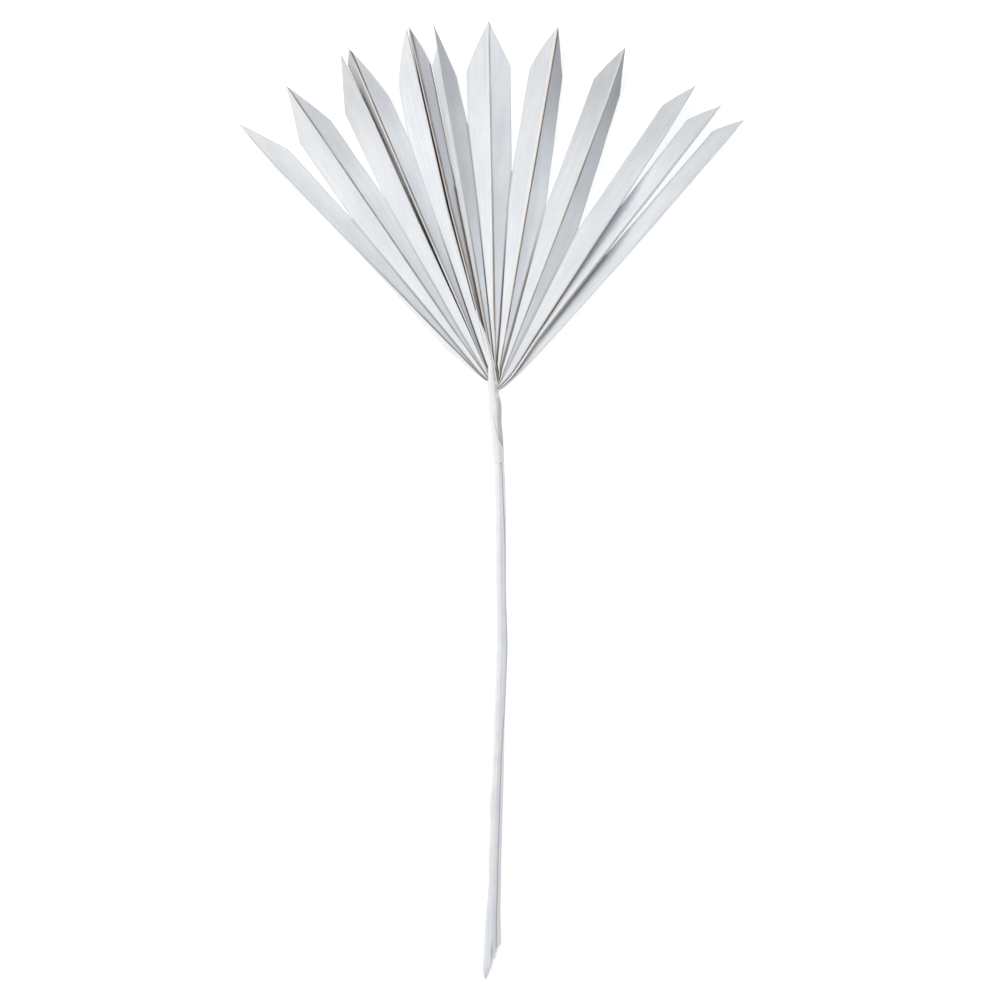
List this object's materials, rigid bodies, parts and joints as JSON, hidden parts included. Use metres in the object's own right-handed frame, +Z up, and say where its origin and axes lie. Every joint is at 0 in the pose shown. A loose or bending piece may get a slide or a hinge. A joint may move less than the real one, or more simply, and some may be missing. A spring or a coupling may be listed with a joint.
{
  "type": "dried fan palm leaf",
  "caption": "Dried, whitened fan palm leaf trimmed to a sunburst: a pleated fan of pointed segments on a long grooved stalk with a paper wrap at its top.",
  "frame": {"origin": "centre of the bounding box's bottom face, on the surface that the leaf lies on", "axes": "+Z up, the side with the ribs; +Y from the foot of the stalk to the tips of the blade; +X to the right, seen from above with the blade at the top"},
  "size_m": [0.2898, 0.5536, 0.0182],
  "materials": {
    "leaf": "matt, chalky white bleached leaf with fine lengthwise striation",
    "stem_wrap": "matt, slightly wrinkled white paper tape"
  },
  "bodies": {
    "root": {"leaf": "leaf", "stem_wrap": "stem_wrap"}
  },
  "joints": []
}
